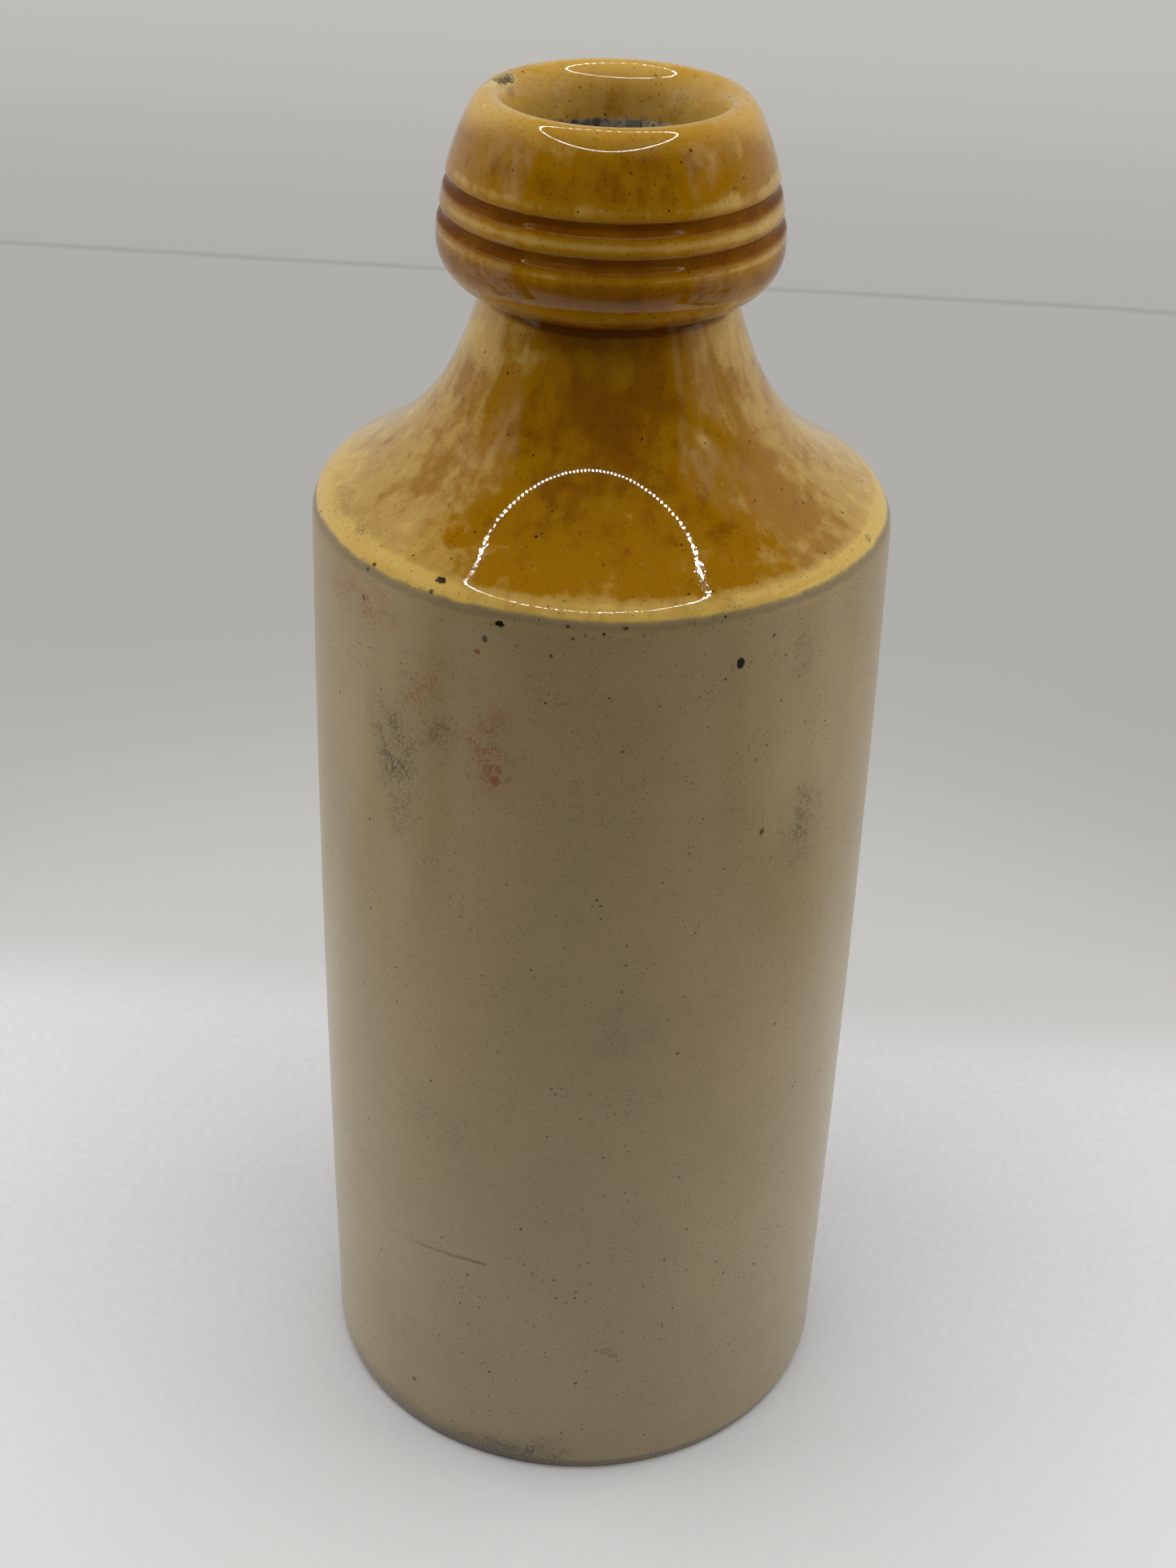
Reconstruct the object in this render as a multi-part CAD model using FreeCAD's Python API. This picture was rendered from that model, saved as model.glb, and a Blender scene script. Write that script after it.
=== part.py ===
import FreeCAD, Part
import math
import os

# One-piece stoneware ginger beer bottle, turned about its axis. Millimetres,
# +Z up, origin at the centre of the base, front of the bottle toward -Y.
# A "corner" radius is where two straight runs of the section would meet; the
# round named after it eases that corner.

# Foot: flat base with a turned bevel
foot_radius = 32.95
bevel_radius = 33.55
bevel_height = 1.9

# Body: nearly straight, with a slight belly. The belly corner is where the lines
# that touch the body at its foot and at its top would meet.
belly_corner_radius = 34.75
belly_corner_height = 68.0
body_top_radius = 33.85
body_height = 127.1
shoulder_round = 4.5

# Shoulder cone that sweeps in one hollow curve into the leaning neck. The curve
# begins and ends this reach away from where the two would meet.
neck_corner_radius = 19.6
shoulder_rise = 8.9
neck_sweep_reach = 10.2
neck_top_radius = 14.05
neck_rise = 15.8

# Collar: a full bulge, then two turned grooves with a raised band between them
collar_corner_radius = 19.72
bulge_round = 5.6
bulge_height = 7.65
ridge_radius = 19.32
groove_width = 1.5
groove_floor_width = 0.5
groove_depth = 0.6
band_width = 2.1

# Dome and lip, a chain of tangent arcs. Each lean is the angle of the outward
# normal above the horizontal where one arc hands over to the next.
dome_foot_radius = 18.34
dome_foot_lean = 14.3
dome_round = 26.8
dome_top_lean = 31.3
lip_outer_round = 2.7
lip_outer_lean = 60.0
lip_crest_round = 1.35
lip_crest_lean = 120.0
lip_inner_round = 3.4
lip_inner_lean = 160.0

# Inside: flared mouth down to a straight cork bore, then the hollow body
bore_radius = 10.0
wall = 5.6
floor_thickness = 9.0
floor_bevel = 5.0

# Chip in the rim at the back left, on the mouth's side of the crest: a main flake
# and a deeper pit at its far end. Bearings turn from +X toward +Y. An inset is
# measured inward from the crest of the lip, a depth down from it.
chip_main_bearing = 161.0
chip_main_size = 3.0
chip_main_inset = 1.2
chip_main_depth = 0.7
chip_pit_bearing = 155.5
chip_pit_size = 1.6
chip_pit_inset = 1.2
chip_pit_depth = 0.9

# Heights that follow from the sizes above
neck_corner_height = body_height + shoulder_rise
collar_height = neck_corner_height + neck_rise
ridge_height = collar_height + bulge_height
lower_groove_height = ridge_height
upper_groove_height = lower_groove_height + groove_width + band_width
dome_foot_height = upper_groove_height + groove_width


def on_wall(radius, height):
    """Point of the half section, drawn in the XZ plane."""
    return FreeCAD.Vector(radius, 0, height)


def rounded_run(corners):
    """Straight edges through (radius, height, round) corners; a round of 0 keeps the corner sharp."""
    points = [on_wall(radius, height) for radius, height, _ in corners]
    edges = []
    cursor = points[0]
    for before, here, after, corner in zip(points, points[1:], points[2:], corners[1:]):
        if corner[2] == 0:
            edges.append(Part.makeLine(cursor, here))
            cursor = here
            continue
        to_before = (before - here).normalize()
        to_after = (after - here).normalize()
        half_angle = to_before.getAngle(to_after) / 2
        trim = corner[2] / math.tan(half_angle)
        bisector = (to_before + to_after).normalize()
        start = here + to_before * trim
        middle = here + bisector * corner[2] * (1 / math.sin(half_angle) - 1)
        cursor_after = here + to_after * trim
        edges.append(Part.makeLine(cursor, start))
        edges.append(Part.Arc(start, middle, cursor_after).toShape())
        cursor = cursor_after
    edges.append(Part.makeLine(cursor, points[-1]))
    return edges


def tangent_curve(start, corner, end):
    """Long easy curve from start to end that touches both lines drawn from the corner."""
    curve = Part.BezierCurve()
    curve.setPoles([start, corner, end])
    return curve.toShape()


def inset_corner(before, here, after, depth):
    """Corner of the hollow that keeps one depth of wall behind both faces that meet at a corner."""
    to_before = (on_wall(*before) - on_wall(*here)).normalize()
    to_after = (on_wall(*after) - on_wall(*here)).normalize()
    inward = FreeCAD.Vector(to_before.z, 0, -to_before.x)
    turn = (to_after + to_before).dot(inward) / (1 - to_before.dot(to_after))
    return on_wall(*here) + inward * depth + to_before * turn * depth


def lean_arc(start, radius, lean_from, lean_to):
    """Arc that leaves a point and turns its outward normal from one lean to another."""
    def normal(lean):
        angle = math.radians(lean)
        return FreeCAD.Vector(math.cos(angle), 0, math.sin(angle))
    centre = start - normal(lean_from) * radius
    middle = centre + normal((lean_from + lean_to) / 2) * radius
    end = centre + normal(lean_to) * radius
    return Part.Arc(start, middle, end).toShape(), end


def groove(lower_edge):
    """Corners of one turned groove in the leaning face of the collar."""
    def corner(height, depth):
        share = (height - ridge_height) / (dome_foot_height - ridge_height)
        face_radius = ridge_radius + share * (dome_foot_radius - ridge_radius)
        return face_radius - depth, height, 0
    slope_width = (groove_width - groove_floor_width) / 2
    return [
        corner(lower_edge, 0),
        corner(lower_edge + slope_width, groove_depth),
        corner(lower_edge + slope_width + groove_floor_width, groove_depth),
        corner(lower_edge + groove_width, 0),
    ]


def outer_edges():
    """Outside of the bottle from the centre of the base to the foot of the dome."""
    bevel_top = on_wall(bevel_radius, bevel_height)
    base = Part.makeLine(on_wall(0, 0), on_wall(foot_radius, 0))
    bevel = Part.makeLine(on_wall(foot_radius, 0), bevel_top)

    shoulder = on_wall(body_top_radius, body_height)
    neck_corner = on_wall(neck_corner_radius, neck_corner_height)
    neck_top = on_wall(neck_top_radius, collar_height)
    sweep_start = neck_corner + (shoulder - neck_corner).normalize() * neck_sweep_reach
    sweep_end = neck_corner + (neck_top - neck_corner).normalize() * neck_sweep_reach
    neck_sweep = tangent_curve(sweep_start, neck_corner, sweep_end)

    _, shoulder_edge, shoulder_cone = rounded_run([
        (body_top_radius, belly_corner_height, 0),
        (body_top_radius, body_height, shoulder_round),
        (sweep_start.x, sweep_start.z, 0),
    ])
    body_top = shoulder_edge.firstVertex().Point
    belly_corner = on_wall(belly_corner_radius, belly_corner_height)
    body = tangent_curve(bevel_top, belly_corner, body_top)

    collar_run = rounded_run([
        (sweep_end.x, sweep_end.z, 0),
        (neck_top_radius, collar_height, 0),
        (collar_corner_radius, collar_height, bulge_round),
        *groove(lower_groove_height),
        *groove(upper_groove_height),
    ])
    return [base, bevel, body, shoulder_edge, shoulder_cone, neck_sweep] + collar_run


def lip_edges():
    """Dome, rolled lip and flared mouth, with the crest of the lip and the top of the bore."""
    dome_foot = on_wall(dome_foot_radius, dome_foot_height)
    dome, dome_top = lean_arc(dome_foot, dome_round, dome_foot_lean, dome_top_lean)
    outer_roll, crest_start = lean_arc(dome_top, lip_outer_round, dome_top_lean, lip_outer_lean)
    crest_roll, crest_end = lean_arc(crest_start, lip_crest_round, lip_outer_lean, lip_crest_lean)
    crest = lean_arc(crest_start, lip_crest_round, lip_outer_lean, 90)[1]
    inner_roll, flare_top = lean_arc(crest_end, lip_inner_round, lip_crest_lean, lip_inner_lean)
    flare_turn = math.radians(180 - lip_inner_lean)
    flare_round = (flare_top.x - bore_radius) / (1 - math.cos(flare_turn))
    flare, bore_top = lean_arc(flare_top, flare_round, lip_inner_lean, 180)
    return [dome, outer_roll, crest_roll, inner_roll, flare], crest, bore_top


def inner_edges(bore_top):
    """Bore, hollow neck, shoulder, wall and floor, back to the axis."""
    body_side = (body_top_radius, belly_corner_height)
    shoulder = (body_top_radius, body_height)
    neck_corner = (neck_corner_radius, neck_corner_height)
    neck_top = (neck_top_radius, collar_height)
    inner_shoulder = inset_corner(body_side, shoulder, neck_corner, wall)
    inner_neck = inset_corner(shoulder, neck_corner, neck_top, wall)
    neck_slope = neck_rise / (neck_corner_radius - neck_top_radius)
    bore_bottom = inner_neck.z + (inner_neck.x - bore_radius) * neck_slope
    return rounded_run([
        (bore_radius, bore_top.z, 0),
        (bore_radius, bore_bottom, 0),
        (inner_neck.x, inner_neck.z, 0),
        (inner_shoulder.x, inner_shoulder.z, 0),
        (inner_shoulder.x, floor_thickness + floor_bevel, 0),
        (inner_shoulder.x - floor_bevel, floor_thickness, 0),
        (0, floor_thickness, 0),
    ])


def flake(bearing, size, inset, depth, crest):
    """Ball that takes one shell-shaped flake out of the lip. Its poles lie along the rim."""
    angle = math.radians(bearing)
    radius = crest.x - inset
    height = crest.z + size - depth
    centre = FreeCAD.Vector(radius * math.cos(angle), radius * math.sin(angle), height)
    along_rim = FreeCAD.Vector(-math.sin(angle), math.cos(angle), 0)
    return Part.makeSphere(size, centre, along_rim)


lip, crest, bore_top = lip_edges()
axis_edge = Part.makeLine(on_wall(0, floor_thickness), on_wall(0, 0))
section_edges = outer_edges() + lip + inner_edges(bore_top) + [axis_edge]
section = Part.Face(Part.Wire(Part.__sortEdges__(section_edges)))
turned = section.revolve(FreeCAD.Vector(0, 0, 0), FreeCAD.Vector(0, 0, 1), 360)

main_flake = flake(chip_main_bearing, chip_main_size, chip_main_inset, chip_main_depth, crest)
pit = flake(chip_pit_bearing, chip_pit_size, chip_pit_inset, chip_pit_depth, crest)
bottle = turned.cut([main_flake, pit])

os.makedirs("parts", exist_ok=True)
bottle.exportStep("parts/bottle.step")
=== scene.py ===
import math

import bpy
import numpy as np
from mathutils import Matrix, Vector


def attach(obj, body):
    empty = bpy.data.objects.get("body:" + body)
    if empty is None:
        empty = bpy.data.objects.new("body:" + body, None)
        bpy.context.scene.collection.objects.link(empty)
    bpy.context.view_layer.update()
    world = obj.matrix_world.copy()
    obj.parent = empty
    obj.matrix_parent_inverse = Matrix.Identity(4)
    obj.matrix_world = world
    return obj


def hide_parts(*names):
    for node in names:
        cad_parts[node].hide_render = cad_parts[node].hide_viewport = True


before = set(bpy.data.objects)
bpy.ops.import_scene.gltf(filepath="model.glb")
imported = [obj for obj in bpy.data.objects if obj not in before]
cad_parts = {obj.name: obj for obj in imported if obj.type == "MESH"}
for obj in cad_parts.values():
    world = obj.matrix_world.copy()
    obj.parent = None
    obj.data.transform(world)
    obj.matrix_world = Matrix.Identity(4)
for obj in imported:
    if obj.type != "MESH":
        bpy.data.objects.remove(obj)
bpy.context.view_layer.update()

MM = 0.001

# Section sizes in mm, the same as in the solid
FOOT_RADIUS, BEVEL_RADIUS, BEVEL_HEIGHT = 32.95, 33.55, 1.9
BELLY_CORNER = (34.75, 68.0)
BODY_TOP_RADIUS, BODY_HEIGHT, SHOULDER_ROUND = 33.85, 127.1, 4.5
NECK_CORNER = (19.6, 136.0)
SWEEP_REACH = 10.2
NECK_TOP = (14.05, 151.8)
COLLAR_CORNER_RADIUS, BULGE_ROUND = 19.72, 5.6
RIDGE = (19.32, 159.45)
GROOVE_WIDTH, GROOVE_FLOOR, GROOVE_DEPTH, BAND_WIDTH = 1.5, 0.5, 0.6, 2.1
DOME_FOOT = (18.34, 164.55)
# Dome, outer roll, crest and inner roll: radius, and the leans of the outward normal at its ends
LIP_ARCS = ((26.8, 14.3, 31.3), (2.7, 31.3, 60), (1.35, 60, 120), (3.4, 120, 160))
FLARE_LEANS = (160, 180)
BORE_RADIUS, FLOOR_THICKNESS = 10.0, 9.0
# Corners of the hollow below the bore, down to the floor: radius, height
HOLLOW = ((BORE_RADIUS, 146.43), (14.62, 133.3), (16.6, 131.0), (26.6, 124.9), (28.25, 123.1),
          (28.25, 14.0), (26.8, 10.5), (23.25, FLOOR_THICKNESS), (0, FLOOR_THICKNESS))

# How closely the section is drawn before its rows are picked
STEP, LIP_STEP = 0.1, 0.05


def run(start, end, step):
    """Points along a straight run, without its end."""
    start, end = np.array(start, float), np.array(end, float)
    count = max(1, int(np.linalg.norm(end - start) / step))
    return [start + (end - start) * i / count for i in range(count)]


def curve(start, corner, end, step):
    """Points along the easy curve that touches both lines of a corner."""
    start, corner, end = (np.array(p, float) for p in (start, corner, end))
    count = max(2, int(np.linalg.norm(end - start) / step))
    share = [i / count for i in range(count)]
    return [start * (1 - s) ** 2 + corner * 2 * s * (1 - s) + end * s * s for s in share]


def arc(start, radius, lean_from, lean_to, step):
    """Points along an arc whose outward normal turns from one lean to another, and its end."""
    def normal(lean):
        return np.array([math.cos(math.radians(lean)), math.sin(math.radians(lean))])
    centre = np.array(start, float) - normal(lean_from) * radius
    count = max(3, int(abs(math.radians(lean_to - lean_from)) * abs(radius) / step))
    leans = [lean_from + (lean_to - lean_from) * i / count for i in range(count)]
    return [centre + normal(lean) * radius for lean in leans], centre + normal(lean_to) * radius


def lean_of(start, end):
    """Lean of the outward normal of a straight run that climbs from start to end."""
    return math.degrees(math.atan2(start[0] - end[0], end[1] - start[1]))


def rounded(before, here, after, radius, step):
    """Points along the round of a corner, with the two places where it touches the lines."""
    before, here, after = (np.array(p, float) for p in (before, here, after))
    back = (before - here) / np.linalg.norm(before - here)
    on = (after - here) / np.linalg.norm(after - here)
    half = math.acos(back @ on) / 2
    trim = radius / math.tan(half)
    start = here + back * trim
    points, end = arc(start, radius, lean_of(before, here), lean_of(here, after), step)
    return start, points, end


def toward(start, end, reach):
    """Point that far along the way from start to end."""
    return start + (end - start) / np.linalg.norm(end - start) * reach


def groove_corners():
    """Corners of the two grooves in the leaning face of the collar."""
    slope = (GROOVE_WIDTH - GROOVE_FLOOR) / 2
    profile = ((0, 0), (slope, GROOVE_DEPTH), (slope + GROOVE_FLOOR, GROOVE_DEPTH), (GROOVE_WIDTH, 0))
    corners = []
    for low in (RIDGE[1], RIDGE[1] + GROOVE_WIDTH + BAND_WIDTH):
        for height, depth in profile:
            share = (low + height - RIDGE[1]) / (DOME_FOOT[1] - RIDGE[1])
            corners.append((RIDGE[0] + share * (DOME_FOOT[0] - RIDGE[0]) - depth, low + height))
    return corners


def outside():
    """Outer half section from the centre of the base to the top of the bore."""
    shoulder = np.array([BODY_TOP_RADIUS, BODY_HEIGHT])
    neck_corner, neck_top = np.array(NECK_CORNER), np.array(NECK_TOP)
    sweep_start = toward(neck_corner, shoulder, SWEEP_REACH)
    sweep_end = toward(neck_corner, neck_top, SWEEP_REACH)
    belly = (BODY_TOP_RADIUS, BELLY_CORNER[1])
    body_top, shoulder_round, cone_start = rounded(belly, shoulder, neck_corner, SHOULDER_ROUND, STEP)
    collar_corner = (COLLAR_CORNER_RADIUS, NECK_TOP[1])
    bulge_start, bulge, bulge_end = rounded(NECK_TOP, collar_corner, RIDGE, BULGE_ROUND, STEP)
    points = run((0, 0), (FOOT_RADIUS, 0), STEP)
    points += run((FOOT_RADIUS, 0), (BEVEL_RADIUS, BEVEL_HEIGHT), STEP)
    points += curve((BEVEL_RADIUS, BEVEL_HEIGHT), BELLY_CORNER, body_top, STEP)
    points += shoulder_round
    points += run(cone_start, sweep_start, STEP)
    points += curve(sweep_start, NECK_CORNER, sweep_end, STEP)
    points += run(sweep_end, NECK_TOP, STEP)
    points += run(NECK_TOP, bulge_start, STEP)
    points += bulge
    points += run(bulge_end, RIDGE, STEP)
    corners = groove_corners()
    for here, there in zip(corners, corners[1:]):
        points += run(here, there, STEP)
    end = np.array(DOME_FOOT)
    for radius, lean_from, lean_to in LIP_ARCS:
        piece, end = arc(end, radius, lean_from, lean_to, LIP_STEP)
        points += piece
    flare_turn = math.radians(FLARE_LEANS[1] - FLARE_LEANS[0])
    flare_round = (end[0] - BORE_RADIUS) / (1 - math.cos(flare_turn))
    piece, end = arc(end, flare_round, *FLARE_LEANS, STEP)
    return points + piece, end


def inside(bore_top):
    """Inner half section from the top of the bore to the centre of the floor."""
    corners = [bore_top, *HOLLOW]
    points = []
    for here, there in zip(corners, corners[1:]):
        points += run(here, there, STEP)
    return points + [np.array(corners[-1], float)]


def soften(points, reach):
    """Eases every corner of a closely spaced line by averaging along it."""
    line = np.array(points)
    padded = np.vstack([np.repeat(line[:1], reach, 0), line, np.repeat(line[-1:], reach, 0)])
    weights = np.hanning(2 * reach + 3)[1:-1]
    weights /= weights.sum()
    soft = np.stack([np.convolve(padded[:, k], weights, "valid") for k in (0, 1)], 1)
    soft[0], soft[-1] = line[0], line[-1]
    return soft


def smooth_step(share):
    share = np.clip(share, 0, 1)
    return share * share * (3 - 2 * share)


# On the outside, rows of the mesh lie this far apart below each height
ROW_SPACING = (
    (3, 0.35), (123.5, 1.7), (129.5, 0.35), (151.2, 0.6), (158.5, 0.4), (165.5, 0.17), (170.5, 0.36),
    (180, 0.17),
)


def spacing(radius, height, outer):
    """How far apart the rows of the mesh lie at a place of the section."""
    if not outer:
        return 0.6 if height > 158 else 4.0
    if height < 0.01:
        return 4.0 if radius < 31 else 0.35
    return next(apart for top, apart in ROW_SPACING if height < top)


# How far the corners are eased, in points of the section: everywhere, in the grooves, on the lip
EASE_ALL, EASE_GROOVES, EASE_LIP = 3, 6, 52
# The grooves lie between these heights, and above the upper one the lip begins
GROOVES_BOTTOM, GROOVES_TOP = 158.4, 165.6


def rows():
    """Section rows as (radius, height, outer) with the spacing above."""
    outer_line, bore_top = outside()
    inner_line = inside(bore_top)
    whole = outer_line + inner_line
    line = soften(whole, EASE_ALL)
    height = line[:, 1]
    in_grooves = np.clip((height - GROOVES_BOTTOM) / 0.5, 0, 1) * np.clip((GROOVES_TOP - height) / 0.5, 0, 1)
    in_grooves = in_grooves * (line[:, 0] > 15)
    on_lip = smooth_step((height - GROOVES_TOP) / 4.0)
    for reach, share in ((EASE_GROOVES, in_grooves), (EASE_LIP, on_lip)):
        line = line * (1 - share)[:, None] + soften(whole, reach) * share[:, None]
    # Easing takes a little off the crest, which is put back
    lowered = np.array(whole)[:, 1].max() - line[:, 1].max()
    line[:, 1] += lowered * smooth_step((line[:, 1] - GROOVES_TOP) / 6.0)
    chosen = [(line[0][0], line[0][1], True)]
    walked = 0.0
    for index in range(1, len(line)):
        walked += np.linalg.norm(line[index] - line[index - 1])
        outer = index < len(outer_line)
        if walked >= spacing(line[index][0], line[index][1], outer):
            chosen.append((line[index][0], line[index][1], outer))
            walked = 0.0
    chosen.append((line[-1][0], line[-1][1], False))
    return chosen


# Columns of the mesh lie closer together between these bearings, where the rim is chipped
FINE_BEARINGS, FINE_STEP, COARSE_COLUMNS = (138.0, 178.0), 0.62, 172


def bearings():
    """Bearings of the mesh's columns, in radians."""
    low, high = FINE_BEARINGS
    fine = np.arange(low, high, FINE_STEP)
    coarse = np.linspace(high, low + 360, COARSE_COLUMNS, endpoint=False)
    return np.radians(np.concatenate([fine, coarse]))


def ripple(bearing, height):
    """Slight unevenness left by turning, in mm, never outward."""
    wave = 0.5 + 0.5 * np.sin(2 * bearing + 0.6 + height * 0.011)
    slow = 0.5 + 0.5 * np.sin(3 * bearing - height * 0.03 + 1.1)
    rings = 0.5 + 0.5 * np.sin(height * 0.83 + 1.7 * np.sin(height * 0.21) + 0.35 * np.sin(bearing))
    return -(0.05 * wave + 0.035 * slow + 0.018 * rings)


# Flakes out of the rim: bearing, centre radius, ball size, depth below the crest
CHIP_BALLS = ((161.0, 12.7, 3.0, 0.7), (155.5, 12.7, 1.6, 0.9), (166.0, 12.3, 1.3, 0.62))
CHIP_REACH = 3.5


def chip(x, y, z, crest):
    """Height of the rim after the flakes have gone, and how much each point lost."""
    new = z.copy()
    rough = 0.05 * np.sin(5.1 * x + 2.3 * y) + 0.04 * np.sin(9.7 * y - 6.1 * x)
    rough += 0.03 * np.sin(17 * x + 13 * y)
    for bearing, radius, size, depth in CHIP_BALLS:
        angle = math.radians(bearing)
        gap = size ** 2 - (x - radius * math.cos(angle)) ** 2 - (y - radius * math.sin(angle)) ** 2
        floor = crest + size - depth - np.sqrt(np.clip(gap, 0, None)) + rough
        new = np.where((gap > 0) & (floor < new), floor, new)
    return new, z - new


# Speckled stains: bearing, height, half width, half height, kind, strength
STAINS = (
    (-143.9, 122.6, 8.0, 6.0, "stain_rust", 0.75),
    (-134.0, 122.8, 5.0, 5.0, "stain_rust", 0.60),
    (-115.5, 118.0, 8.0, 5.2, "stain_rust", 0.30),
    (-124.5, 114.8, 5.0, 6.4, "stain_rust", 0.80),
    (-109.2, 109.8, 5.4, 8.5, "stain_rust", 0.90),
    (-107.8, 106.8, 2.6, 3.6, "stain_rust", 0.80),
    (-131.1, 105.8, 6.4, 9.5, "stain_grey", 1.0),
    (-130.6, 104.6, 3.4, 5.0, "stain_grey", 0.7),
    (-129.5, 98.0, 3.6, 7.4, "stain_grey", 0.65),
    (-119.5, 109.8, 2.9, 3.8, "stain_grey", 1.0),
    (-44.6, 96.9, 5.4, 9.0, "stain_grey", 0.85),
    (-48.0, 119.0, 2.8, 7.4, "stain_grey", 0.5),
    (-82.2, 73.8, 6.5, 6.0, "stain_grey", 0.40),
    (-118.0, 55.0, 9.0, 6.5, "stain_grey", 0.32),
    (-104.0, 2.8, 11.0, 3.2, "stain_grime", 1.0),
    (-97.0, 3.4, 6.5, 3.4, "stain_grime", 0.9),
    (-160.0, 128.9, 5.0, 1.6, "stain_dark", 0.5),
    (-146.0, 128.7, 4.0, 1.4, "stain_dark", 0.5),
    (62.0, 100.0, 8.0, 7.0, "stain_rust", 0.45),
    (118.0, 34.0, 7.0, 6.0, "stain_grey", 0.5),
)


def stain_masks(points, surface_radius):
    """How strongly each kind of stain lies on each point, in mm."""
    masks = {}
    for bearing, height, across, up, kind, strength in STAINS:
        angle, radius = math.radians(bearing), surface_radius(height)
        centre = (radius * math.cos(angle), radius * math.sin(angle), height)
        away = np.linalg.norm((points - centre) / (across, across, up), axis=1)
        share = smooth_step((1 - away) / 0.9) * strength
        masks[kind] = 1 - (1 - masks.get(kind, 0)) * (1 - share)
    return masks


# The unevenness fades out toward the foot and the crest over these heights
FOOT_EASE, CREST_EASE = 6.0, 12.0


def build_bottle():
    """Dense mesh of the turned section, with the chip, the unevenness and the masks of the stains."""
    section = rows()
    around = bearings()
    count = len(around)
    crest = max(height for _, height, _ in section)
    verts, lost = [], []
    for radius, height, outer in section[1:-1]:
        ease = smooth_step(height / FOOT_EASE) * smooth_step((crest - height) / CREST_EASE) if outer else 0.0
        r = radius + ripple(around, height) * ease
        x, y = r * np.cos(around), r * np.sin(around)
        z = np.full(count, height)
        gone = np.zeros(count)
        if height > crest - CHIP_REACH:
            z, gone = chip(x, y, z, crest)
        verts += list(zip(x * MM, y * MM, z * MM))
        lost += list(gone)
    foot, floor = len(verts), len(verts) + 1
    verts += [(0, 0, 0), (0, 0, FLOOR_THICKNESS * MM)]
    lost += [0.0, 0.0]
    faces = []
    last = len(section) - 3
    for i in range(count):
        j = (i + 1) % count
        faces.append((foot, j, i))
        for row in range(last):
            a, b = row * count, (row + 1) * count
            faces.append((a + i, a + j, b + j, b + i))
        faces.append((last * count + i, last * count + j, floor))
    mesh = bpy.data.meshes.new("bottle_glazed")
    mesh.from_pydata(verts, [], faces)
    mesh.shade_smooth()
    wall = [(height, radius) for radius, height, outer in section if outer and 0.01 < height < 151.0]

    def surface_radius(height):
        return float(np.interp(height, [h for h, _ in wall], [r for _, r in wall]))

    layers = stain_masks(np.array(verts) / MM, surface_radius)
    layers["chip"] = lost
    for name, values in layers.items():
        mesh.attributes.new(name, "FLOAT", "POINT").data.foreach_set("value", values)
    obj = bpy.data.objects.new("bottle_glazed", mesh)
    bpy.context.scene.collection.objects.link(obj)
    return obj, surface_radius


def linear(colour):
    """Linear colour of an 8-bit screen colour."""
    def channel(v):
        v /= 255
        return v / 12.92 if v <= 0.04045 else ((v + 0.055) / 1.055) ** 2.4
    return tuple(channel(v) for v in colour) + (1.0,)


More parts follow.
